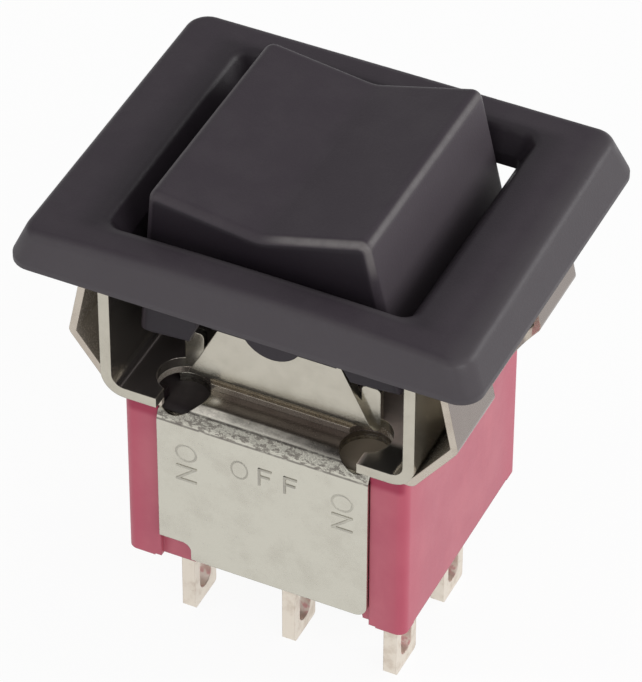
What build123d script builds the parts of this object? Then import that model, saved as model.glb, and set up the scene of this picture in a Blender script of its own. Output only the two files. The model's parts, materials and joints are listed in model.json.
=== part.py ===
from build123d import *

import os
from math import atan2, cos, sin

# Miniature two-pole snap-in rocker switch.
# Frame: +Z up, origin under the middle of the switch at the level of the lug tips.
# X runs along the rocking direction and Y along the rocker's pivot, all in millimetres.
# The rocker stands in its first ON position, pressed down at -X.

# ---------------------------------------------------------------- driving dimensions
# Heights of the stack, from the lug tips up
foot_z = 4.80  # underside of the case's four feet
side_z = 5.02  # lower edge of the walls between the feet
seal_z = 5.40  # roof of the pocket under the case that holds the resin
floor_z = 5.90  # inside floor of the case
ledge_z = 12.70  # ledge of the case, under the flange of the lever guide
case_top_z = 13.20  # top of that flange, which carries the cover
post_top_z = 13.65  # corner posts, level with the top of the cover
clip_t = 0.32
bracket_t = 0.48
panel_z = 20.85  # underside of the bezel, which lies on the panel

# Case
case_x, case_y = 12.70, 11.43
wall = 0.90
cover_half = 4.72  # half width of the cover across X
case_face_y = 5.45  # front and back faces behind the cover's flaps
foot_x = 5.05  # inner edge of the feet

pocket_x, pocket_y = 11.20, 8.20  # pocket for the resin

# Solder lugs
lug_pitch, lug_row = 4.70, 2.415
lug_t, lug_w = 0.60, 2.00
eye_length, eye_width, eye_z = 1.90, 1.05, 1.55
lug_tab_t = 0.40

# Cover
cover_t = 0.45
cover_bend_r = 0.50  # inside radius of its two bends
flap_bottom_z = 5.55
relief_x, relief_y, relief_r = 4.08, 4.65, 1.10  # round reliefs beside the feet of the ears

# Bracket and clip
bracket_half_x, bracket_half_y = 6.93, 6.41
ear_y = 4.20  # outer face of each ear
ear_half = 4.25  # half width of an ear at its foot
ear_lean = 0.50  # how much an ear narrows, for each side and unit of height
clip_half_y = 5.90
finger_gap = 2.30  # half gap between the two fingers of a leaf

# Rocking
pivot_z = 19.95
throw = 4.2  # angle of the rocker from its middle position
rocker_x, rocker_y = 4.76, 5.50  # half sizes of the rocker at its top corners
rocker_foot_x = 5.92
rocker_top_z, valley_z, rocker_foot_z = 24.68, 23.68, 17.15
rocker_wall = 0.70
drive_z = 14.75  # where the rocker's tongue drives the lever
lever_z = 12.10
lever_throw = throw * (pivot_z - drive_z) / (drive_z - lever_z)
pin_r = 0.60
running = 0.04  # radial clearance of a turning fit

# Contacts
arm_z = 7.62  # edge that a contact arm rocks on
arm_throw = 6.3
contact_x = 4.60

# Bezel
bezel_x, bezel_y = 10.14, 8.13  # half sizes
opening_x, opening_y = 6.05, 5.80  # half sizes of the opening at its foot
bezel_corner = 1.00
crease_r = 0.45  # rounding of the outer crease of its top
land_x, land_y = 8.95, 6.95  # inner half sizes of the band that lies on the panel
relief = 0.15  # depth of the relief inside that band
funnel_z = 21.55  # where the opening's walls start to lean outwards
rim_z = 21.10  # top of the upright rim, where the sloping shoulder starts
shoulder_z = 23.20  # level that the shoulder would reach without the crown
shoulder_in_x, shoulder_in_y = 0.90, 0.50  # how far it leans in up to there
crown_z = 22.77  # top of the crown
crown_end, crown_fall = 12.0, 0.50  # the front edge falls this much that far from its middle

os.makedirs("parts", exist_ok=True)


def save(part, label):
    part.label = label
    export_step(part, f"parts/{label}.step")


def channel(half, low, high, thickness, inner_r=0.3):
    """Face of a sheet bent up at both sides; its outside reaches the half width and the low level."""
    inside = half - thickness
    with BuildSketch(Plane.XY, mode=Mode.PRIVATE) as section:
        with BuildLine():
            FilletPolyline((-half, high), (-half, low), (half, low), (half, high),
                           radius=inner_r + thickness)
            FilletPolyline((-inside, high), (-inside, low + thickness), (inside, low + thickness),
                           (inside, high), radius=inner_r)
            Line((-half, high), (-inside, high))
            Line((half, high), (inside, high))
        make_face()
    return section.sketch


def turned(part, centre_z, angle):
    """The part turned about the line parallel to Y at this height, its -X side going down."""
    return part.rotate(Axis((0, 0, centre_z), (0, 1, 0)), -angle)


# ---------------------------------------------------------------- case
with BuildPart() as case:
    with BuildSketch(Plane.XY.offset(foot_z)):
        RectangleRounded(case_x, case_y, 0.45)
    extrude(amount=post_top_z - foot_z)
    # The walls are lifted a little between the feet
    with BuildSketch(Plane.XY.offset(foot_z)):
        Rectangle(case_x, 2 * 4.75)
        Rectangle(2 * foot_x, case_y)
    extrude(amount=side_z - foot_z, mode=Mode.SUBTRACT)
    chamfer(case.edges().group_by(Axis.Z)[0], 0.15)
    # Front and back faces stand back behind the cover's flaps, and the top behind its plate
    for side in (-1, 1):
        with Locations((0, side * (case_y / 2 + case_face_y) / 2, foot_z)):
            Box(2 * cover_half + 0.06, case_y / 2 - case_face_y, 12,
                align=(Align.CENTER, Align.CENTER, Align.MIN), mode=Mode.SUBTRACT)
    with Locations((0, 0, ledge_z)):
        Box(2 * cover_half + 0.06, case_y, 2,
            align=(Align.CENTER, Align.CENTER, Align.MIN), mode=Mode.SUBTRACT)
    # Chamber for the contacts, split by a wall between the two poles
    with BuildSketch(Plane.XY.offset(floor_z)):
        RectangleRounded(case_x - 2 * wall, 2 * (case_face_y - 0.8), 0.4)
        Rectangle(case_x, 0.7, mode=Mode.SUBTRACT)
    extrude(amount=3.3, mode=Mode.SUBTRACT)
    with BuildSketch(Plane.XY.offset(floor_z + 3.3)):
        RectangleRounded(case_x - 2 * wall, 2 * (case_face_y - 0.8), 0.4)
    extrude(amount=9, mode=Mode.SUBTRACT)
    # Pocket for the resin under the floor
    with BuildSketch(Plane.XY.offset(foot_z)):
        RectangleRounded(pocket_x, pocket_y, 0.5)
    extrude(amount=seal_z - foot_z, mode=Mode.SUBTRACT)
    # The long walls are cut short between the feet, out of sight behind the flaps
    for turn in (0, 180):
        with BuildSketch(Plane.XZ.rotated((0, 0, turn)).offset(case_face_y + 0.5)):
            with Locations((0.53, foot_z)):
                RectangleRounded(7.65, 1.30, 0.4)
        extrude(amount=-1.7, mode=Mode.SUBTRACT)
    # Slots for the lugs
    with BuildSketch(Plane.XY.offset(seal_z - 0.1)):
        with GridLocations(lug_pitch, 2 * lug_row, 3, 2):
            Rectangle(lug_t, lug_w)
    extrude(amount=floor_z - seal_z + 0.2, mode=Mode.SUBTRACT)
save(case.part, "case")

# ---------------------------------------------------------------- resin under the case
with BuildPart() as terminal_seal:
    with BuildSketch(Plane.XY.offset(side_z + 0.06)):
        RectangleRounded(pocket_x, pocket_y, 0.5)
        with GridLocations(lug_pitch, 2 * lug_row, 3, 2):
            Rectangle(lug_t, lug_w, mode=Mode.SUBTRACT)
    extrude(amount=seal_z - side_z - 0.06)
save(terminal_seal.part, "terminal_seal")


# ---------------------------------------------------------------- solder lugs
def end_lug(x, y):
    """Blade with a round-ended eye below and a tab bent inwards for the contact above."""
    inward = -1 if x > 0 else 1
    with BuildPart() as lug:
        with BuildSketch(Plane.YZ.offset(x - lug_t / 2)):
            with Locations((y, floor_z / 2)):
                Rectangle(lug_w, floor_z)
            with Locations((y, eye_z)):
                SlotOverall(eye_length, eye_width, rotation=90, mode=Mode.SUBTRACT)
        extrude(amount=lug_t)
        with Locations((x + inward * 0.25, y, floor_z)):
            Box(1.60, lug_w - 0.3, lug_tab_t, align=(Align.CENTER, Align.CENTER, Align.MIN))
        fillet(lug.edges().filter_by(Axis.X).group_by(Axis.Z)[0], 0.18)
    return lug.part


def centre_lug(y):
    """Blade whose top is a fork that the contact arm rocks on."""
    with BuildPart() as lug:
        with BuildSketch(Plane.YZ.offset(-lug_t / 2)):
            with Locations((y, arm_z / 2)):
                Rectangle(lug_w, arm_z)
            with Locations((y, eye_z)):
                SlotOverall(eye_length, eye_width, rotation=90, mode=Mode.SUBTRACT)
        extrude(amount=lug_t)
        with BuildSketch(Plane.XZ.offset(-y - lug_w / 2)):
            with Locations((0, arm_z)):
                Polygon((-0.5, -0.2), (-0.05, 0), (0.05, 0), (0.5, -0.2), (0.5, 0.5), (-0.5, 0.5),
                        align=None)
        extrude(amount=lug_w, mode=Mode.SUBTRACT)
        fillet(lug.edges().filter_by(Axis.X).group_by(Axis.Z)[0], 0.18)
    return lug.part


for row, y in (("front", -lug_row), ("rear", lug_row)):
    save(end_lug(-lug_pitch, y), f"lug_{row}_left")
    save(centre_lug(y), f"lug_{row}_centre")
    save(end_lug(lug_pitch, y), f"lug_{row}_right")

# ---------------------------------------------------------------- fixed contacts
with BuildPart() as fixed_contacts:
    with Locations(Plane.XY.offset(floor_z + lug_tab_t)):
        with GridLocations(2 * contact_x, 2 * lug_row, 2, 2):
            Cylinder(0.75, 0.40, align=(Align.CENTER, Align.CENTER, Align.MIN))
save(fixed_contacts.part, "fixed_contacts")

# ---------------------------------------------------------------- contact arms
arm_t, arm_w = 0.35, 2.0
hump = 0.25  # rise of the humps


def contact_arm(y):
    """Silvered see-saw blade: flat wings, and two humps that cradle the plunger."""
    outline = ((-5.25, 0), (-1.40, 0), (-0.80, hump), (-0.35, 0),
               (0.35, 0), (0.80, hump), (1.40, 0), (5.25, 0))
    with BuildPart() as arm:
        with BuildSketch(Plane.XZ.offset(-y - arm_w / 2)):
            with BuildLine():
                Polyline([(x, arm_z + rise) for x, rise in outline]
                         + [(x, arm_z + arm_t + rise) for x, rise in reversed(outline)], close=True)
            make_face()
        extrude(amount=arm_w)
    return turned(arm.part, arm_z, arm_throw)


def arm_buttons(y):
    """The two contact heads riveted under an arm's ends."""
    with BuildPart() as heads:
        with Locations(Plane.XY.offset(arm_z)):
            with Locations((-contact_x, y), (contact_x, y)):
                Cylinder(0.65, 0.35, align=(Align.CENTER, Align.CENTER, Align.MAX))
    return turned(heads.part, arm_z, arm_throw)


for row, y in (("front", -lug_row), ("rear", lug_row)):
    save(contact_arm(y), f"contact_arm_{row}")
    save(arm_buttons(y), f"arm_contacts_{row}")

# ---------------------------------------------------------------- lever guide and pin
guide_x, guide_y = case_x - 2 * wall - 0.02, 2 * (case_face_y - 0.8) - 0.02
with BuildPart() as lever_guide:
    with BuildSketch(Plane.XY.offset(11.2)):
        RectangleRounded(guide_x, guide_y, 0.4)
        Rectangle(5.6, 7.2, mode=Mode.SUBTRACT)
    extrude(amount=case_top_z - 11.2)
    # Flange over the case's front and back walls, rounded to suit the cover's bends
    with BuildSketch(Plane.XY.offset(ledge_z)):
        Rectangle(2 * cover_half, 2 * case_face_y - 0.02)
        Rectangle(2 * cover_half, guide_y - 0.4, mode=Mode.SUBTRACT)
    extrude(amount=case_top_z - ledge_z)
    fillet(lever_guide.edges().filter_by(Axis.X).group_by(Axis.Y)[0].sort_by(Axis.Z)[-1:]
           + lever_guide.edges().filter_by(Axis.X).group_by(Axis.Y)[-1].sort_by(Axis.Z)[-1:],
           case_top_z - ledge_z - 0.02)
    with Locations((0, 0, lever_z)):
        Cylinder(pin_r, 2 * case_y, rotation=(90, 0, 0), mode=Mode.SUBTRACT)
save(lever_guide.part, "lever_guide")

with BuildPart() as lever_pin:
    with BuildSketch(Plane.XZ.offset(-4.45)):
        with Locations((0, lever_z)):
            Circle(pin_r)
    extrude(amount=8.9)
save(lever_pin.part, "lever_pin")

# ---------------------------------------------------------------- lever
plunger_length = 2.20
tip_reach = lever_z - arm_z - arm_t - 0.03  # from the lever's pin to a plunger's tip
socket_bottom, socket_r, bore_r = lever_z - 2.9, 1.00, 0.64
with BuildPart() as lever:
    with BuildSketch(Plane.XZ.offset(-3.5)):
        with Locations((0, lever_z)):
            Circle(1.0)
    extrude(amount=7.0)
    with BuildSketch(Plane.XZ.offset(-1.3)):
        with Locations((0, (lever_z + drive_z + 0.8) / 2)):
            Rectangle(2.9, drive_z + 0.8 - lever_z)
        with Locations((0, drive_z)):
            Rectangle(1.5, 2.4, mode=Mode.SUBTRACT)
    extrude(amount=2.6)
    fillet(lever.edges().filter_by(Axis.Y).group_by(Axis.Z)[-1], 0.3)
    with Locations((0, -lug_row, lever_z), (0, lug_row, lever_z)):
        Cylinder(socket_r, lever_z - socket_bottom, align=(Align.CENTER, Align.CENTER, Align.MAX))
    with Locations((0, -lug_row, socket_bottom), (0, lug_row, socket_bottom)):
        Cylinder(bore_r, 2.05, align=(Align.CENTER, Align.CENTER, Align.MIN), mode=Mode.SUBTRACT)
    with Locations((0, 0, lever_z)):
        Cylinder(pin_r + running, 20, rotation=(90, 0, 0), mode=Mode.SUBTRACT)
save(turned(lever.part, lever_z, -lever_throw), "lever")


# ---------------------------------------------------------------- plungers and their springs
def plunger(y):
    """Blunt-nosed plunger that slides in a socket of the lever."""
    tip_z = lever_z - tip_reach
    with BuildPart() as body:
        with BuildSketch(Plane.XZ.offset(-y)):
            with BuildLine():
                Line((0, tip_z), (0, tip_z + plunger_length))
                Line((0, tip_z + plunger_length), (0.59, tip_z + plunger_length))
                Line((0.59, tip_z + plunger_length), (0.59, tip_z + 0.62))
                Line((0.59, tip_z + 0.62), (0.30, tip_z))
                Line((0.30, tip_z), (0, tip_z))
            make_face()
        revolve(axis=Axis((0, y, 0), (0, 0, 1)))
    return turned(body.part, lever_z, -lever_throw)


def plunger_spring(y):
    """Two turns of wire between a plunger and the end of its socket."""
    low, high = lever_z - tip_reach + plunger_length, socket_bottom + 2.05
    wire_r = 0.08
    turns = 2
    height = high - low - 2 * wire_r - 0.02
    with BuildPart() as coil:
        with BuildLine() as path:
            Helix(pitch=height / turns, height=height, radius=0.46,
                  center=(0, y, low + wire_r + 0.01))
        # Square wire, which keeps the facets of the coil few
        with BuildSketch(Plane(origin=path.line @ 0, z_dir=path.line % 0)):
            Rectangle(2 * wire_r, 2 * wire_r)
        sweep(is_frenet=True)
    return turned(coil.part, lever_z, -lever_throw)


for row, y in (("front", -lug_row), ("rear", lug_row)):
    save(plunger(y), f"plunger_{row}")
    save(plunger_spring(y), f"plunger_spring_{row}")

# ---------------------------------------------------------------- cover
with BuildPart() as cover:
    # One strip bent down twice, hugging the case's front, top and back
    with BuildSketch(Plane.YZ.offset(-cover_half)):
        with BuildLine():
            FilletPolyline((-case_face_y, flap_bottom_z), (-case_face_y, case_top_z),
                           (case_face_y, case_top_z), (case_face_y, flap_bottom_z), radius=cover_bend_r)
            offset(amount=cover_t, side=Side.LEFT)
        make_face()
    extrude(amount=2 * cover_half)
    # Each flap has one corner cut away over a foot of the case and the other rounded
    for turn in (0, 180):
        with BuildSketch(Plane.XZ.rotated((0, 0, turn)).offset(case_face_y - 0.1)):
            with Locations((-cover_half, flap_bottom_z)):
                RectangleRounded(2.9, 1.7, 0.4)
            with Locations((cover_half, flap_bottom_z)):
                Rectangle(1.1, 1.1)
            with Locations((cover_half - 0.55, flap_bottom_z + 0.55)):
                Circle(0.55, mode=Mode.SUBTRACT)
        extrude(amount=1, mode=Mode.SUBTRACT)
    # Way for the lever, and a round relief at each corner of the top
    with BuildSketch(Plane.XY.offset(case_top_z - 0.2)):
        Rectangle(5.2, 5.2)
        with GridLocations(2 * relief_x, 2 * relief_y, 2, 2):
            Circle(relief_r)
    extrude(amount=1, mode=Mode.SUBTRACT)
save(cover.part, "cover")

# ---------------------------------------------------------------- snap-in clip
clip_z = post_top_z
leaf_out = 8.60  # furthest reach of a leaf in X
leaf_top = 8.08  # where a leaf ends, just under the bezel
with BuildPart() as snap_clip:
    with BuildSketch(Plane.XZ.offset(-clip_half_y)):
        with BuildLine():
            FilletPolyline((-leaf_top, 18.75), (-leaf_out, 16.20), (-6.70, clip_z), (6.70, clip_z),
                           (leaf_out, 16.20), (leaf_top, 18.75), radius=0.4)
            offset(amount=clip_t, side=Side.LEFT)
        make_face()
    extrude(amount=2 * clip_half_y)
    # Front and back are cut back to leave the cover open to view
    for side in (-1, 1):
        with Locations((0, side * clip_half_y, clip_z)):
            Box(8.9, 2 * (clip_half_y - ear_y) + 0.1, 2, mode=Mode.SUBTRACT)
    # A wide slot splits each leaf into two fingers
    with BuildSketch(Plane.XY.offset(clip_z - 1)):
        Rectangle(5.2, 5.2)
        with Locations((-9.4, 0), (9.4, 0)):
            RectangleRounded(3.6, 2 * finger_gap, 0.6)
        with GridLocations(2 * relief_x, 2 * relief_y, 2, 2):
            Circle(relief_r)
    extrude(amount=8, mode=Mode.SUBTRACT)
save(snap_clip.part, "snap_clip")

# ---------------------------------------------------------------- bracket
bracket_z = clip_z + clip_t
ear_r = (ear_half - ear_lean * (pivot_z - bracket_z)) * cos(atan2(ear_lean, 1))
with BuildPart() as bracket:
    # Base and the two end legs, bent from one sheet
    with BuildSketch(Plane.XZ.offset(-bracket_half_y)):
        add(channel(bracket_half_x, bracket_z, panel_z - 0.05, bracket_t, inner_r=0.55))
    extrude(amount=2 * bracket_half_y)
    # Front and back of the base are cut away between the end flanges
    for side in (-1, 1):
        with Locations((0, side * bracket_half_y, bracket_z)):
            Box(8.90, 2 * (bracket_half_y - ear_y) + 0.6, 3, mode=Mode.SUBTRACT)
    with BuildSketch(Plane.XY.offset(bracket_z - 0.1)):
        with GridLocations(2 * relief_x, 2 * relief_y, 2, 2):
            Circle(relief_r)
    extrude(amount=1, mode=Mode.SUBTRACT)
    # Window in each leg for the bezel's hook
    with BuildSketch(Plane.YZ.offset(-10)):
        with Locations((0, 18.45)):
            RectangleRounded(4.6, 2.2, 0.5)
    extrude(amount=20, mode=Mode.SUBTRACT)
with BuildPart() as ears:
    # Second bend: a channel across Y whose upright walls become the ears
    with BuildSketch(Plane.YZ.offset(-ear_half)):
        add(channel(ear_y, bracket_z, pivot_z + ear_r, bracket_t, inner_r=0.06))
    extrude(amount=2 * ear_half)
    # Trapezoid outline with a round head about the pivot
    with BuildSketch(Plane.XZ.offset(-10)):
        with BuildLine():
            slope = atan2(ear_lean, 1)
            head_x, head_z = ear_r * cos(slope), pivot_z + ear_r * sin(slope)
            Polyline((-head_x, head_z), (-ear_half, bracket_z), (ear_half, bracket_z), (head_x, head_z))
            ThreePointArc((head_x, head_z), (0, pivot_z + ear_r), (-head_x, head_z))
        make_face()
    extrude(amount=20, mode=Mode.INTERSECT)
with BuildPart() as bracket_whole:
    add(bracket.part)
    add(ears.part)
    # Way for the lever, and the pivot holes
    with BuildSketch(Plane.XY.offset(bracket_z - 0.1)):
        Rectangle(5.2, 5.2)
    extrude(amount=1, mode=Mode.SUBTRACT)
    with Locations((0, 0, pivot_z)):
        Cylinder(pin_r, 20, rotation=(90, 0, 0), mode=Mode.SUBTRACT)
save(bracket_whole.part, "bracket")

# ---------------------------------------------------------------- rocker and its pin
with BuildPart() as rocker_pin:
    with BuildSketch(Plane.XZ.offset(-ear_y - 0.05)):
        with Locations((0, pivot_z)):
            Circle(pin_r)
    extrude(amount=2 * ear_y + 0.1)
save(rocker_pin.part, "rocker_pin")

with BuildPart() as rocker:
    # Tapered block with the shallow V that fingers press
    with BuildSketch(Plane.XZ.offset(-rocker_y)):
        with BuildLine():
            Polyline((-rocker_foot_x, rocker_foot_z), (-rocker_x, rocker_top_z), (0, valley_z),
                     (rocker_x, rocker_top_z), (rocker_foot_x, rocker_foot_z), close=True)
        make_face()
    extrude(amount=2 * rocker_y)
    across = rocker.edges().filter_by(Axis.Y)
    fillet(across.filter_by_position(Axis.Z, valley_z - 0.1, valley_z + 0.1), 1.5)
    uprights = [edge for edge in rocker.edges()
                if abs(edge.tangent_at(0.5).Z) > 0.95 and abs(edge.center().X) > 4]
    fillet(uprights, 0.45)
    chamfer(rocker.edges().filter_by(Axis.Y).group_by(Axis.Z)[0], 0.35)
    rim = [edge for edge in rocker.edges()
           if edge.center().Z > valley_z - 0.5 and max(abs(edge.center().X) - rocker_x,
                                                       abs(edge.center().Y) - rocker_y) > -0.3]
    fillet(rim, 0.45)
    # Hollow underneath
    with BuildSketch(Plane.XZ.offset(-rocker_y + rocker_wall)):
        with BuildLine():
            lean = (rocker_foot_x - rocker_x) / (rocker_top_z - rocker_foot_z)
            roof_z = 22.35
            roof_x = rocker_x + lean * (rocker_top_z - roof_z) - rocker_wall
            Polyline((-rocker_foot_x + rocker_wall, rocker_foot_z), (-roof_x, roof_z), (roof_x, roof_z),
                     (rocker_foot_x - rocker_wall, rocker_foot_z), close=True)
        make_face()
    extrude(amount=2 * (rocker_y - rocker_wall), mode=Mode.SUBTRACT)
    # The long walls are arched over the bezel's cheeks, which leaves a lobe at each end
    with BuildSketch(Plane.XZ.offset(-10)):
        with BuildLine():
            FilletPolyline((-3.75, rocker_foot_z - 1), (-3.75, rocker_foot_z), (-3.15, 18.3), (-3.15, 20.35),
                           (3.15, 20.35), (3.15, 18.3), (3.75, rocker_foot_z), (3.75, rocker_foot_z - 1),
                           radius=0.35, close=True)
        make_face()
    extrude(amount=20, mode=Mode.SUBTRACT)
    # Web between the ears, with its bore and the tongue that drives the lever
    with BuildSketch(Plane.XZ.offset(-3.6)):
        with BuildLine():
            Polyline((-1.25, roof_z + 0.2), (-1.25, pivot_z), (1.25, pivot_z), (1.25, roof_z + 0.2), close=True)
        make_face()
        with Locations((0, pivot_z)):
            Circle(1.25)
    extrude(amount=7.2)
    with BuildSketch(Plane.XZ.offset(-1.2)):
        with Locations((0, (drive_z + pivot_z) / 2)):
            Trapezoid(2.2, pivot_z - drive_z, 81, rotation=180)
        with Locations((0, drive_z)):
            Circle(0.70)
    extrude(amount=2.4)
    with Locations((0, 0, pivot_z)):
        Cylinder(pin_r + running, 7.4, rotation=(90, 0, 0), mode=Mode.SUBTRACT)
save(turned(rocker.part, pivot_z, throw), "rocker")

# ---------------------------------------------------------------- bezel
with BuildPart() as bezel:
    # Upright rim
    with BuildSketch(Plane.XY.offset(panel_z)):
        RectangleRounded(2 * bezel_x, 2 * bezel_y, bezel_corner)
    extrude(amount=rim_z - panel_z)
    # Sloping shoulder
    with BuildSketch(Plane.XY.offset(rim_z)):
        RectangleRounded(2 * bezel_x, 2 * bezel_y, bezel_corner)
    with BuildSketch(Plane.XY.offset(shoulder_z)):
        RectangleRounded(2 * (bezel_x - shoulder_in_x), 2 * (bezel_y - shoulder_in_y), bezel_corner)
    loft(ruled=True)
    # The top is cut off by a face that is faintly crowned along the front and straight at the back
    with BuildSketch(Plane.XZ.offset(bezel_y)):
        with BuildLine():
            ThreePointArc((-crown_end, crown_z - crown_fall), (0, crown_z), (crown_end, crown_z - crown_fall))
            Polyline((crown_end, crown_z - crown_fall), (crown_end, panel_z), (-crown_end, panel_z),
                     (-crown_end, crown_z - crown_fall))
        make_face()
    with BuildSketch(Plane.XZ.offset(-bezel_y)):
        Polygon((-crown_end, crown_z), (crown_end, crown_z), (crown_end, panel_z), (-crown_end, panel_z),
                align=None)
    loft(ruled=True, mode=Mode.INTERSECT)
    # Relief in the underside, so that only the outer band lies on the panel
    with BuildSketch(Plane.XY.offset(panel_z)):
        RectangleRounded(2 * land_x, 2 * land_y, 0.6)
    extrude(amount=relief, mode=Mode.SUBTRACT)
    # Opening, funnelled at the top, with an edge that rolls over
    with BuildSketch(Plane.XY.offset(panel_z - 0.1)):
        RectangleRounded(2 * opening_x, 2 * opening_y, 0.35)
    extrude(amount=4, mode=Mode.SUBTRACT)
    with BuildSketch(Plane.XY.offset(funnel_z)):
        RectangleRounded(2 * opening_x, 2 * opening_y, 0.35)
    with BuildSketch(Plane.XY.offset(funnel_z + 2)):
        RectangleRounded(2 * (opening_x + 1.15), 2 * (opening_y + 0.60), 0.9)
    loft(ruled=True, mode=Mode.SUBTRACT)
    top = bezel.faces().sort_by(Axis.Z)[-1]
    fillet(top.inner_wires()[0].edges(), 0.40)
    fillet(bezel.faces().sort_by(Axis.Z)[-1].outer_wire().edges(), crease_r)
    root_z = panel_z + relief + 0.1
    # Inner skirt at each end, between the rocker and the bracket's leg, with its hook
    for side in (-1, 1):
        with Locations((side * 6.23, 0, 18.2)):
            Box(0.36, 10.2, panel_z - 18.2 + 0.6, align=(Align.CENTER, Align.CENTER, Align.MIN))
        with BuildSketch(Plane.XZ.offset(-1.6)):
            with Locations((side * 6.40, 17.75)):
                Polygon((0, 0.5), (0, 1.5), (side * 0.5, 1.5), (side * 0.5, 1.3), align=None)
        extrude(amount=3.2)
        # Tongue between the fingers of the clip, with a small nose
        with BuildSketch(Plane.XZ.offset(-1.95)):
            with BuildLine():
                Polyline((side * 7.95, root_z), (side * 7.95, 16.65), (side * 8.35, 16.65),
                         (side * 8.60, 17.3), (side * 8.45, 18.2), (side * 8.45, root_z), close=True)
            make_face()
        extrude(amount=3.9)
    # Cheek in front of each ear, with a round toe
    for side in (-1, 1):
        with Locations((0, side * 6.075, 19.25)):
            Box(5.5, 0.55, root_z - 19.25, align=(Align.CENTER, Align.CENTER, Align.MIN))
        with Locations((0, side * 5.3, 19.25)):
            Box(5.5, 2.0, 0.6, align=(Align.CENTER, Align.CENTER, Align.MIN))
        with BuildSketch(Plane.XZ.offset(-side * 4.30 - (0.4 if side > 0 else 0))):
            with Locations((0, 18.65)):
                Rectangle(5.5, 2.4)
            with Locations((-0.1, 18.23)):
                Circle(1.40)
        extrude(amount=0.4)
save(bezel.part, "bezel")
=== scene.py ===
import json
import math
import bmesh
import bpy
from mathutils import Matrix, Vector


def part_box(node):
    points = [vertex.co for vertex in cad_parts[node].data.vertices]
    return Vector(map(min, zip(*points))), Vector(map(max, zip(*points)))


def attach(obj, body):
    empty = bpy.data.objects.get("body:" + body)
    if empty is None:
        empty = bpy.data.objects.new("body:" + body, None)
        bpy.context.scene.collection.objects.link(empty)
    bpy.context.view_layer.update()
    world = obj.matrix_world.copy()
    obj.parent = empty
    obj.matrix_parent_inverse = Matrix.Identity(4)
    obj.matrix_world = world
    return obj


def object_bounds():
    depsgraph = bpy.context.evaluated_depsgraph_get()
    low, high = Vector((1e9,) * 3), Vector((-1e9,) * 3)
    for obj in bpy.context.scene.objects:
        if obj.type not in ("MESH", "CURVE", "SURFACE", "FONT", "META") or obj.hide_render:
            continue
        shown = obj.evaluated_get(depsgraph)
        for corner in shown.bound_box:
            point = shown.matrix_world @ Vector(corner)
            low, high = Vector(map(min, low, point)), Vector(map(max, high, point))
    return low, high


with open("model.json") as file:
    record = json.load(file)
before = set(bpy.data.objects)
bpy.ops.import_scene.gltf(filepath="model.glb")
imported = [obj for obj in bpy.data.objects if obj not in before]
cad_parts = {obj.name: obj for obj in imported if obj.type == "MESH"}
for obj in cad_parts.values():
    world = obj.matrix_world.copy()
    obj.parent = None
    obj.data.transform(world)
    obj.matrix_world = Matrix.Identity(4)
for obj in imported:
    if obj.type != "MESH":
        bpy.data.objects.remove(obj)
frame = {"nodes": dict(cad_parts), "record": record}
cadLow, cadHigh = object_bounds()
scene = bpy.context.scene
mm = 0.001


# ---- shader helpers: values that add their own nodes
class Val:
    def __init__(self, graph, socket):
        self.graph, self.socket = graph, socket

    def math(self, operation, *others):
        return self.graph.math(operation, self, *others)

    def __add__(self, other): return self.math("ADD", other)
    def __radd__(self, other): return self.math("ADD", other)
    def __sub__(self, other): return self.math("SUBTRACT", other)
    def __rsub__(self, other): return self.graph.math("SUBTRACT", other, self)
    def __mul__(self, other): return self.math("MULTIPLY", other)
    def __rmul__(self, other): return self.math("MULTIPLY", other)
    def __abs__(self): return self.math("ABSOLUTE")
    def max(self, other): return self.math("MAXIMUM", other)

    def step(self, low, high):  # 0 below low, 1 above high, smooth between
        return self.graph.node("ShaderNodeMapRange", {"interpolation_type": "SMOOTHSTEP"},
                               {0: self, 1: low, 2: high, 3: 0.0, 4: 1.0})

    def below(self, low, high):  # 1 below low, 0 above high
        return 1 - self.step(low, high)

    def near(self, low, high):  # 1 within low of zero, 0 beyond high
        return abs(self).below(low, high)


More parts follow.
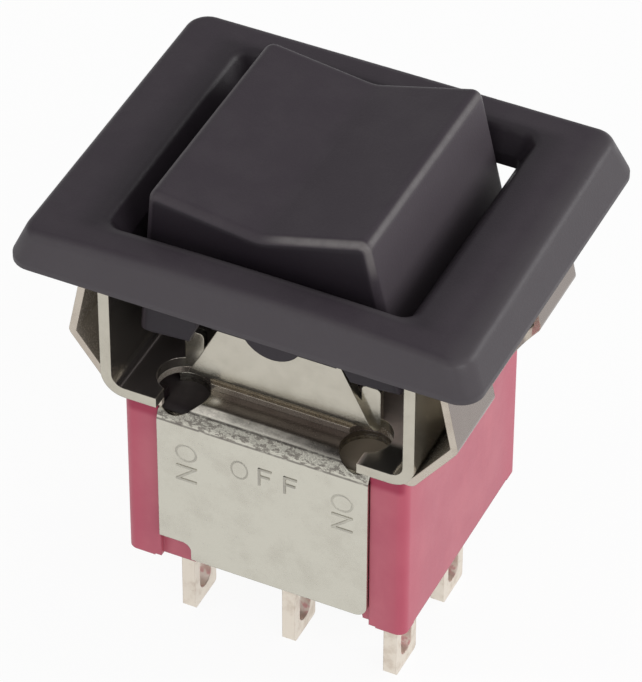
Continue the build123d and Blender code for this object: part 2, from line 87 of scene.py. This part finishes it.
class Graph:
    def __init__(self, name):
        self.material = bpy.data.materials.new(name)
        self.material.use_nodes = True
        self.tree = self.material.node_tree
        self.tree.nodes.clear()
        self.output = self.tree.nodes.new("ShaderNodeOutputMaterial")
        self.place = self.node("ShaderNodeTexCoord", out="Object")
        self.x, self.y, self.z = (part * (1 / mm) for part in self.parts(self.place))  # in mm

    def node(self, kind, settings=None, inputs=None, out=0):
        made = self.tree.nodes.new(kind)
        for key, value in (settings or {}).items():
            setattr(made, key, value)
        for key, value in (inputs or {}).items():
            if isinstance(value, Val):
                self.tree.links.new(value.socket, made.inputs[key])
            else:
                made.inputs[key].default_value = value
        return Val(self, made.outputs[out])

    def math(self, operation, *values):
        return self.node("ShaderNodeMath", {"operation": operation}, dict(enumerate(values)))

    def parts(self, vector):
        first = self.node("ShaderNodeSeparateXYZ", None, {0: vector})
        return [Val(self, socket) for socket in first.socket.node.outputs]

    def normal(self):  # the three parts of the surface's direction
        return self.parts(self.node("ShaderNodeNewGeometry", out="Normal"))

    def noise(self, perMm, detail=3.0, rough=0.5, stretch=None):
        where = self.place
        if stretch:
            where = self.node("ShaderNodeMapping", None, {"Vector": self.place, "Scale": stretch})
        return self.node("ShaderNodeTexNoise", {"noise_dimensions": "3D"},
                         {"Vector": where, "Scale": perMm / mm, "Detail": detail, "Roughness": rough})

    def blend(self, mask, first, second):
        return self.node("ShaderNodeMix", {"data_type": "RGBA"},
                         {"Factor": mask, 6: (*first, 1.0) if isinstance(first, tuple) else first,
                          7: (*second, 1.0) if isinstance(second, tuple) else second}, out=2)

    def bump(self, height, depth, strength, edge):  # fine relief over edges that are softened
        soft = self.node("ShaderNodeBevel", {"samples": 6}, {"Radius": edge * mm})
        return self.node("ShaderNodeBump", None, {"Height": height, "Distance": depth * mm,
                                                  "Strength": strength, "Normal": soft})

    def surface(self, colour, roughness, normal, metallic=0.0, coat=0.0, specular=0.5):
        shader = self.node("ShaderNodeBsdfPrincipled", None, {
            "Base Color": colour, "Roughness": roughness, "Metallic": metallic, "Coat Weight": coat,
            "Specular IOR Level": specular, "Normal": normal})
        self.tree.links.new(shader.socket, self.output.inputs[0])
        return self.material


def away(across, along):  # distance, from its two parts
    return (across.math("POWER", 2.0) + along.math("POWER", 2.0)).math("SQRT")


# ---- black mouldings
# The last colour of the black mouldings is the painted highlight on rounded edges
blackPlastic = {"base": (0.040, 0.0310, 0.0400), "pale": (0.056, 0.0465, 0.055), "highlightColour": (0.175, 0.160, 0.160),
                "specular": 0.32, "grain": 0.018}
# In the bezel, the funnel colour is painted shade round the opening, and the last colour painted light
bezelLook = {**blackPlastic, "rough": 0.50, "edge": 0.12, "edgeHighlight": 0.06, "highlightFrom": (22.0, 22.4),
             "opening": (6.9, 6.2), "funnelShade": (0.012, 0.009, 0.013), "litColour": (0.088, 0.080, 0.086)}
# In the rocker, the shaded colour is painted shade on the front and back walls, and the last colour painted light on
# the raised end wall
rockerLook = {**blackPlastic, "rough": 0.52, "edge": 0.10, "edgeHighlight": 0.70, "highlightFrom": (23.0, 24.2),
              "walls": 0.75, "shaded": (0.008, 0.005, 0.009), "litEndWall": (0.082, 0.069, 0.080)}


def makeBlackPlastic(name, look):
    g = Graph(name)
    facingX, facingY, _ = g.normal()
    # A painted highlight makes rounded edges paler, mostly at the front and at +X
    alongX = abs(facingX).step(0.30, 0.58) * facingX.near(0.82, 0.98)
    alongY = abs(facingY).step(0.22, 0.55) * facingY.near(0.80, 0.97)
    edgeHighlight = (alongX * (0.30 + facingX.step(0.0, 0.2) * 0.35)).max(
        alongY * (0.12 + g.x.step(-0.4, 0.9) * facingY.below(-0.2, 0.0) * 1.1))
    edgeHighlight = edgeHighlight * (0.45 + g.noise(1.3, 4.0, 0.7)) * g.z.step(*look["highlightFrom"])
    cloud = g.noise(0.55, 4.0, 0.6)
    grain = g.noise(9.0, 3.0, 0.65)
    pits = g.noise(26.0, 2.0, 0.5)
    dust = g.noise(3.2, 5.0, 0.75).step(0.60, 0.80)
    colour = g.blend(cloud.step(0.35, 0.7) * 0.4 + dust * 0.4 + (pits - 0.5) * 1.2, look["base"], look["pale"])
    colour = g.blend(edgeHighlight * look["edgeHighlight"], colour, look["highlightColour"])
    if "walls" in look:  # painted shade darkens the front and back walls against the top, and painted light makes the raised end wall paler
        colour = g.blend(abs(facingY).step(0.90, 0.98) * look["walls"], colour, look["shaded"])
        colour = g.blend(facingX.step(0.85, 0.96) * look["walls"], colour, look["litEndWall"])
    if "opening" in look:  # painted shade keeps the funnel round the opening darker than the top
        wide, deep = look["opening"]
        funnelShade = g.x.near(wide, wide + 1.3) * g.y.near(deep, deep + 0.6)
        colour = g.blend(funnelShade * 0.5, colour, look["funnelShade"])
        # Painted light makes the outer side at +X and the front paler, and a painted highlight lies on the front edge
        # of the opening
        outer = g.x.step(8.3, 9.4).max(g.y.below(-7.85, -7.45))
        lip = (g.y + 6.28).near(0.10, 0.34) * g.x.near(5.6, 7.2)
        colour = g.blend((outer * 0.50).max(lip * 0.40), colour, look["litColour"])
    roughness = look["rough"] + (grain - 0.5) * 0.16 + dust * 0.08 - edgeHighlight * 0.14
    relief = g.bump(grain * 0.6 + pits * 0.4, look["grain"], 0.6, look["edge"])
    return g.surface(colour, roughness, relief, specular=look["specular"])


# ---- red moulding
# The under-clip colour is a painted shadow, and the last colour painted shade in the cover's holes
caseLook = {"base": (0.46, 0.088, 0.135), "pale": (0.56, 0.150, 0.190), "rough": 0.42, "edge": 0.10,
            "grain": 0.008, "corner": (0.50, 0.060, 0.115), "clipShadowColour": (0.33, 0.012, 0.055),
            "hole": (4.08, 4.65), "holeShade": (0.014, 0.008, 0.010)}


def makeRedPlastic(name, look):
    g = Graph(name)
    cloud = g.noise(0.35, 4.0, 0.6)
    flow = g.noise(0.9, 3.0, 0.6, (1.0, 1.0, 0.25))
    grain = g.noise(12.0, 3.0, 0.6)
    colour = g.blend(cloud.step(0.35, 0.7) * 0.45 + flow.step(0.45, 0.75) * 0.3, look["base"], look["pale"])
    roughness = look["rough"] + (grain - 0.5) * 0.14 + (flow - 0.5) * 0.1
    # The plastic looks deeper along its upright corners, and a painted shadow darkens it under the clip
    corner = abs(g.x).step(5.2, 6.3) * abs(g.y).step(3.2, 5.6)
    colour = g.blend(corner * 0.55, colour, look["corner"])
    clipShadow = g.z.step(12.60, 12.98) * abs(g.y).step(5.50, 5.70)
    colour = g.blend(clipShadow * 0.95, colour, look["clipShadowColour"])
    # Painted shade darkens the top of the posts inside the cover's round holes
    holeX, holeY = look["hole"]
    holeShade = away(abs(g.x) - holeX, abs(g.y) - holeY).below(1.60, 1.70) * g.y.near(5.60, 5.68)
    colour = g.blend(holeShade * g.z.step(12.3, 12.4), colour, look["holeShade"])
    return g.surface(colour, roughness, g.bump(grain * 0.7 + flow * 0.3, look["grain"], 0.5, look["edge"]))


# ---- plated sheets
nickel = {"rough": 0.24, "edge": 0.06, "metallic": 1.0, "grain": 0.006}
# On the cover, the shoulder and top colours are painted shade, and the last bright colour and the spot at -X painted
# highlights
coverLook = {**nickel, "base": (0.60, 0.58, 0.505), "dull": (0.50, 0.475, 0.41),
             "bends": (12.90, 13.43, 13.65), "crazed": (0.16, 0.14, 0.125), "rims": (0.13, 0.115, 0.105),
             "shoulder": (0.20, 0.175, 0.16), "tarnishAndShade": (0.160, 0.135, 0.130), "shoulderHighlight": (0.95, 0.90, 0.80),
             "highlightSpot": (-2.62, -4.70)}
# On the bracket, the last colour is painted shade
bracketLook = {**nickel, "base": (0.53, 0.50, 0.425), "dull": (0.43, 0.40, 0.335), "rough": 0.20, "metallic": 0.90,
               "floor": 14.45, "paleOlive": (0.74, 0.61, 0.54), "legShade": (0.150, 0.120, 0.130)}
clipLook = {**nickel, "base": (0.56, 0.50, 0.43), "dull": (0.40, 0.34, 0.28), "rough": 0.26, "edge": 0.05,
            "metallic": 0.88, "outside": (0.25, 0.215, 0.20)}


def makeNickel(name, look):
    g = Graph(name)
    facingX, _, facingZ = g.normal()
    cloud = g.noise(0.8, 4.0, 0.6)
    speck = g.noise(14.0, 3.0, 0.7)
    rolled = g.noise(5.0, 2.0, 0.5, (1.0, 1.0, 0.12))
    colour = g.blend(cloud.step(0.4, 0.75) * 0.5 + speck.step(0.6, 0.75) * 0.35, look["base"], look["dull"])
    roughness = look["rough"] + (speck - 0.5) * 0.22 + (cloud - 0.5) * 0.12
    height = speck * 0.6 + rolled * 0.4
    metallic = look["metallic"]
    inward = 0 - facingX * g.x.math("SIGN")  # 1 on faces that look towards the middle along X
    if "bends" in look:  # the plating is crazed over the outside of each bend
        low, high, top = look["bends"]
        crazed = g.noise(5.0, 3.0, 0.75, (0.6, 1.0, 1.3))
        ragged = g.noise(2.2, 4.0, 0.7, (1.0, 2.0, 2.0))
        band = g.z.step(low - 0.03, low + 0.03) * g.z.below(high - 0.03, high + 0.03)
        rims = (g.z - low).near(0.02, 0.07).max((g.z - high).near(0.015, 0.05))
        roughness = roughness + band * (crazed - 0.5) * 0.5
        height = height + band * crazed * 5.0
        colour = g.blend(band * crazed.step(0.47, 0.56) * 0.75, colour, look["crazed"])
        colour = g.blend(rims * ragged.step(0.30, 0.50) * 0.75, colour, look["rims"])
        # The rounded shoulder gets painted shade towards +X, and the top gets painted shade, less so at -X
        shoulder = g.z.step(high + 0.02, high + 0.06)
        tarnishAndShade = g.z.step(top - 0.05, top - 0.01) * (0.25 + g.x.step(-3.3, -1.9) * 0.75)
        colour = g.blend(shoulder * g.x.step(-2.6, 3.6) * 0.85, colour, look["shoulder"])
        colour = g.blend(tarnishAndShade * (0.75 + cloud * 0.30), colour, look["tarnishAndShade"])
        # A painted highlight makes the front shoulder matt and bright, most at -X, and a painted highlight spot lies
        # on the top there
        shoulderHighlight = shoulder * g.z.below(top - 0.03, top - 0.004) * (0 - g.y).step(4.80, 4.95)
        shoulderHighlight = shoulderHighlight * (0.92 + (crazed - 0.5) * 1.2)
        shoulderHighlight = shoulderHighlight * (1 - g.x.step(-2.6, -1.2) * 0.40) * (1 - g.x.step(-0.2, 3.8) * 0.85)
        highlightSpotX, highlightSpotY = look["highlightSpot"]
        highlightSpot = away(g.x - highlightSpotX, g.y - highlightSpotY).below(0.0, 0.36) * shoulder * (0.25 + ragged * 0.9)
        shoulderHighlight = shoulderHighlight.max(highlightSpot)
        colour = g.blend(shoulderHighlight, colour, look["shoulderHighlight"])
        metallic = metallic - shoulderHighlight * 0.95
    if "floor" in look:  # the base is paler olive, more so at +X
        base = facingZ.step(0.5, 0.8) * g.z.below(look["floor"] + 0.1, look["floor"] + 0.5)
        paleOlive = base * (0.10 + g.x.step(-1.0, 3.6) * 0.90) * (0.6 + cloud * 0.8)
        paleOlive = paleOlive * (1 - abs(g.y).step(4.5, 5.0) * g.x.step(4.3, 4.8))
        colour = g.blend(paleOlive, colour, look["paleOlive"])
        metallic = metallic - paleOlive * 0.7
        # Painted shade darkens the inner faces of the legs and the base beside them
        shadedEnds = g.x.below(-4.6, -4.0).max(g.x.step(4.4, 4.8) * abs(g.y).step(4.6, 5.0) * 0.60)
        colour = g.blend((base * shadedEnds * 0.72).max(inward.step(0.4, 0.7) * 0.52), colour, look["legShade"])
    if "outside" in look:  # outer faces of the leaves are browner, and inner ones more matt
        inside = inward.step(0.35, 0.6)
        colour = g.blend(abs(facingX).step(0.35, 0.6) * 0.9, colour, look["outside"])
        colour = g.blend(inside * 0.8, colour, look["base"])
        metallic = metallic - inside * 0.5
    return g.surface(colour, roughness, g.bump(height, look["grain"], 0.6, look["edge"]), metallic=metallic)


# ---- lugs and contacts
silver = {"base": (0.80, 0.73, 0.635), "dull": (0.62, 0.53, 0.44), "rough": 0.42, "edge": 0.08, "grain": 0.006,
          "metallic": 0.85}
# The eye colours are painted light and a painted reflection of the red case
lugLook = {**silver, "row": 2.415, "eyeZ": 1.55, "eyePaleLight": (0.90, 0.80, 0.72), "eyeRedReflection": (0.70, 0.33, 0.33)}


def makeSilver(name, look):
    g = Graph(name)
    cloud = g.noise(1.6, 4.0, 0.6)
    speck = g.noise(10.0, 3.0, 0.7)
    tarnishAndShade = cloud.step(0.45, 0.7)
    colour = g.blend(tarnishAndShade * 0.6, look["base"], look["dull"])
    roughness = look["rough"] + (speck - 0.5) * 0.2 + tarnishAndShade * 0.1
    metallic = look["metallic"]
    if "row" in look:  # painted reflection of the red case, with painted pale light, on the walls of the eyes
        facingX = g.normal()[0]
        eyeReflection = (abs(g.y) - look["row"]).near(0.42, 0.60) * (g.z - look["eyeZ"]).near(0.8, 1.0)
        eyeReflection = eyeReflection * facingX.near(0.35, 0.7)
        streak = g.noise(2.5, 2.0, 0.5).step(0.42, 0.60)
        colour = g.blend(eyeReflection * 0.9, colour, g.blend(streak, look["eyePaleLight"], look["eyeRedReflection"]))
        metallic = metallic - eyeReflection * 0.75
    return g.surface(colour, roughness, g.bump(speck, look["grain"], 0.5, look["edge"]), metallic=metallic)


# ---- plain finishes of the small and hidden pieces
def makePlain(name, base, dull, rough, metallic=0.0, coat=0.0, paleAtPlusX=None):
    g = Graph(name)
    cloud = g.noise(1.2, 4.0, 0.6)
    grain = g.noise(10.0, 3.0, 0.6)
    colour = g.blend(cloud.step(0.4, 0.7), base, dull)
    if paleAtPlusX:  # what lies open at +X is paler and browner
        colour = g.blend(g.x.step(2.2, 3.0) * 0.9, colour, paleAtPlusX)
    return g.surface(colour, rough + (grain - 0.5) * 0.15, g.bump(grain, 0.006, 0.5, 0.05),
                     metallic=metallic, coat=coat)


bracketNickel = makeNickel("bracketNickel", bracketLook)
contactSilver = makeSilver("contactSilver", silver)
pinSteel = makePlain("pinSteel", (0.55, 0.55, 0.54), (0.40, 0.40, 0.39), 0.3, metallic=1.0)
innerBlack = makePlain("innerBlack", (0.040, 0.032, 0.034), (0.062, 0.052, 0.052), 0.5,
                       paleAtPlusX=(0.30, 0.250, 0.190))
nylon = makePlain("nylon", (0.75, 0.73, 0.66), (0.68, 0.65, 0.57), 0.45)
resin = makePlain("resin", (0.030, 0.026, 0.026), (0.050, 0.040, 0.038), 0.22, coat=0.4)
finishes = {"bezel_plastic": makeBlackPlastic("bezelBlack", bezelLook),
            "rocker_plastic": makeBlackPlastic("rockerBlack", rockerLook),
            "case_plastic": makeRedPlastic("caseRed", caseLook),
            "cover_steel": makeNickel("coverNickel", coverLook),
            "bracket_steel": bracketNickel,
            "clip_steel": makeNickel("clipNickel", clipLook),
            "lug_plating": makeSilver("lugSilver", lugLook),
            "arm_silver": contactSilver, "contact_silver": contactSilver,
            "pin_steel": pinSteel, "spring_steel": pinSteel,
            "plunger_nylon": nylon, "inner_plastic": innerBlack, "seal_resin": resin}
for entry in frame["record"]["subparts"]:
    mesh = frame["nodes"][entry["node"]].data
    if len(mesh.materials) == 0:
        mesh.materials.append(None)
    for index in range(len(mesh.materials)):
        mesh.materials[index] = finishes[entry["material_slot"]]


def addPiece(name, bm, material):
    mesh = bpy.data.meshes.new(name)
    bm.to_mesh(mesh)
    bm.free()
    mesh.materials.append(material)
    piece = bpy.data.objects.new(name, mesh)
    scene.collection.objects.link(piece)
    return piece


# ---- stamped words on the front of the cover, in mm: name, text, middle X and Z, pitch, upright or level
letters = {"stroke": 0.10, "depth": 0.024, "proud": 0.00015, "tall": 0.90, "straightTall": 0.828,
           "roundWide": {"upright": 0.8342, "level": 0.72}, "straightWide": {"upright": 0.72, "level": 0.50},
           "ringSides": 8, "ringSteps": 28,
           "words": (("stampLeft", "ON", -3.40, 10.90, 1.12, "upright"),
                     ("stampMiddle", "OFF", 0.15, 11.50, 1.14, "level"),
                     ("stampRight", "ON", 3.60, 10.98, 1.06, "upright"))}
stampGrey = makePlain("stampGrey", (0.49, 0.47, 0.41), (0.41, 0.39, 0.345), 0.5, metallic=0.9)
stampPale = makePlain("stampPale", (0.56, 0.54, 0.47), (0.48, 0.46, 0.405), 0.5, metallic=0.9)


def strokesOf(letter, wide, tall):
    w, h = wide / 2, tall / 2
    if letter == "N":
        return [((-w, -h), (-w, h)), ((-w, h), (w, -h)), ((w, -h), (w, h))]
    return [((-w, -h), (-w, h)), ((-w, h), (w, h)), ((-w, 0.1 * h), (0.7 * w, 0.1 * h))]  # an F


def addStroke(bm, start, end, width, depth):
    a, b = Vector(start), Vector(end)
    made = bmesh.ops.create_cube(bm, size=1.0)["verts"]
    bmesh.ops.scale(bm, vec=((b - a).length + width, depth, width), verts=made)
    turn = math.atan2(b.y - a.y, b.x - a.x)
    bmesh.ops.rotate(bm, cent=(0, 0, 0), matrix=Matrix.Rotation(-turn, 3, "Y"), verts=made)
    bmesh.ops.translate(bm, vec=((a.x + b.x) / 2, 0, (a.y + b.y) / 2), verts=made)


def addRing(bm, wide, tall, width, depth):
    made = bmesh.ops.create_circle(bm, cap_ends=False, segments=letters["ringSides"], radius=width / 2,
                                   matrix=Matrix.Translation((tall / 2, 0, 0)))["verts"]
    edges = list({edge for vert in made for edge in vert.link_edges})
    bmesh.ops.spin(bm, geom=made + edges, cent=(0, 0, 0), axis=(0, 1, 0), angle=2 * math.pi,
                   steps=letters["ringSteps"], use_merge=True)
    bmesh.ops.scale(bm, vec=(wide / tall, depth / width, 1), verts=[vert for vert in bm.verts if not vert.tag])


def makeWord(name, text, x, z, pitch, stance):
    bm = bmesh.new()
    for index, letter in enumerate(text):
        for vert in bm.verts:
            vert.tag = True
        if letter == "O":
            addRing(bm, letters["roundWide"][stance], letters["tall"], letters["stroke"], letters["depth"])
        else:
            for start, end in strokesOf(letter, letters["straightWide"][stance], letters["straightTall"]):
                # Each stroke stands a little prouder than the last, so that no two faces coincide
                depth = letters["depth"] + letters["proud"] * len(bm.verts)
                addStroke(bm, start, end, letters["stroke"], depth)
        fresh = [vert for vert in bm.verts if not vert.tag]
        along = (index - (len(text) - 1) / 2) * pitch
        if stance == "upright":  # the word is turned a quarter, so that it reads downwards
            bmesh.ops.rotate(bm, cent=(0, 0, 0), matrix=Matrix.Rotation(math.pi / 2, 3, "Y"), verts=fresh)
            bmesh.ops.translate(bm, vec=(0, 0, -along), verts=fresh)
        else:
            bmesh.ops.translate(bm, vec=(along, 0, 0), verts=fresh)
    bmesh.ops.translate(bm, vec=(x, coverLow.y / mm + 0.001, z), verts=bm.verts)
    bmesh.ops.scale(bm, vec=(mm, mm, mm), verts=bm.verts)
    bmesh.ops.recalc_face_normals(bm, faces=bm.faces)
    piece = addPiece(name, bm, stampPale if stance == "upright" else stampGrey)
    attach(piece, "housing")


coverLow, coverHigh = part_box("cover")
for word in letters["words"]:
    makeWord(*word)
print("stamped words")

# ---- small tabs standing beside the feet of the bracket's ears
tabs = {"x": (3.50, 4.35), "y": (3.60, 3.92), "z": (14.40, 16.25), "round": 0.22}
bm = bmesh.new()
size = [high - low for low, high in (tabs["x"], tabs["y"], tabs["z"])]
centre = [(low + high) / 2 for low, high in (tabs["x"], tabs["y"], tabs["z"])]
for sideX in (-1, 1):
    for sideY in (-1, 1):
        made = bmesh.ops.create_cube(bm, size=1.0)["verts"]
        bmesh.ops.scale(bm, verts=made, vec=size)
        bmesh.ops.translate(bm, verts=made, vec=(sideX * centre[0], sideY * centre[1], centre[2]))
topCorners = [edge for edge in bm.edges
              if min(vert.co.z for vert in edge.verts) > tabs["z"][1] - 0.01
              and abs(edge.verts[0].co.x - edge.verts[1].co.x) < 0.01]
bmesh.ops.bevel(bm, geom=topCorners, offset=tabs["round"], affect="EDGES", segments=4, profile=0.5, material=-1)
bmesh.ops.scale(bm, vec=(mm, mm, mm), verts=bm.verts)
bmesh.ops.recalc_face_normals(bm, faces=bm.faces)
tabPiece = addPiece("bracketTabs", bm, bracketNickel)
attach(tabPiece, "housing")
print("bracket tabs")

# ---- floor, lamps and camera
floor = {"half": 1.5, "colour": (0.93, 0.93, 0.93), "whitened": 0.93}
g = Graph("floorPale")
rays = [g.node("ShaderNodeLightPath", out=name) for name in ("Is Camera Ray", "Is Glossy Ray", "Is Transmission Ray")]
seen = rays[0].max(rays[1]).max(rays[2])
matt = g.node("ShaderNodeBsdfDiffuse", None, {"Color": (*floor["colour"], 1.0)})
white = g.node("ShaderNodeEmission", None, {"Color": (1, 1, 1, 1), "Strength": 1.0})
mixed = g.node("ShaderNodeMixShader", None, {0: seen * floor["whitened"], 1: matt, 2: white})
g.tree.links.new(mixed.socket, g.output.inputs[0])
bm = bmesh.new()
bmesh.ops.create_grid(bm, x_segments=1, y_segments=1, size=floor["half"])
floorPiece = addPiece("floor", bm, g.material)

# The surroundings are white to the camera, and dimmer to matt surfaces
world = bpy.data.worlds.new("studio")
worldDim, worldWhite = 0.48, 1.0
scene.world = world
world.use_nodes = True
tree = world.node_tree
background = tree.nodes["Background"]
background.inputs["Color"].default_value = (1, 1, 1, 1)
path = tree.nodes.new("ShaderNodeLightPath").outputs
either = tree.nodes.new("ShaderNodeMath")
either.operation = "MAXIMUM"
level = tree.nodes.new("ShaderNodeMapRange")
level.inputs["To Min"].default_value = worldDim
level.inputs["To Max"].default_value = worldWhite
tree.links.new(path["Is Camera Ray"], either.inputs[0])
tree.links.new(path["Is Transmission Ray"], either.inputs[1])
tree.links.new(either.outputs[0], level.inputs["Value"])
tree.links.new(level.outputs[0], background.inputs["Strength"])

lamps = {"rim": {"towards": (0.66, 0.62, 0.42), "size": 0.20, "power": 0.42},
         "key": {"towards": (0.80, -0.36, 0.48), "size": 0.20, "power": 0.34},
         "front": {"towards": (-0.67, -0.53, 0.54), "size": 0.10, "power": 0.12},
         "fill": {"towards": (0.10, -0.90, 0.30), "size": 0.24, "power": 0.16}}
lampAway = 0.36
middle = (cadLow + cadHigh) / 2
for name, lamp in lamps.items():
    light = bpy.data.lights.new(name, "AREA")
    light.size, light.energy = lamp["size"], lamp["power"]
    holder = bpy.data.objects.new(name, light)
    aside = Vector(lamp["towards"]).normalized() * lampAway
    holder.location = middle + aside
    holder.rotation_euler = aside.to_track_quat("Z", "Y").to_euler()
    scene.collection.objects.link(holder)

# The camera's places are in mm and its roll in degrees
view = {"from": (61.28, -130.26, 140.25), "towards": (-2.238, 4.459, 9.788), "lens": 247.3, "roll": 0.17}
camera = bpy.data.cameras.new("camera")
camera.lens, camera.sensor_width, camera.sensor_fit = view["lens"], 36.0, "AUTO"
camera.clip_start, camera.clip_end = 0.01, 20.0
eye, aim = Vector(view["from"]) * mm, Vector(view["towards"]) * mm
look = (aim - eye).to_track_quat("-Z", "Y").to_matrix() @ Matrix.Rotation(math.radians(view["roll"]), 3, "Z")
cameraPiece = bpy.data.objects.new("camera", camera)
cameraPiece.rotation_euler = look.to_euler()
cameraPiece.location = eye
scene.collection.objects.link(cameraPiece)
scene.camera = cameraPiece
scene.view_settings.view_transform = "Standard"
print("floor, lamps and camera")
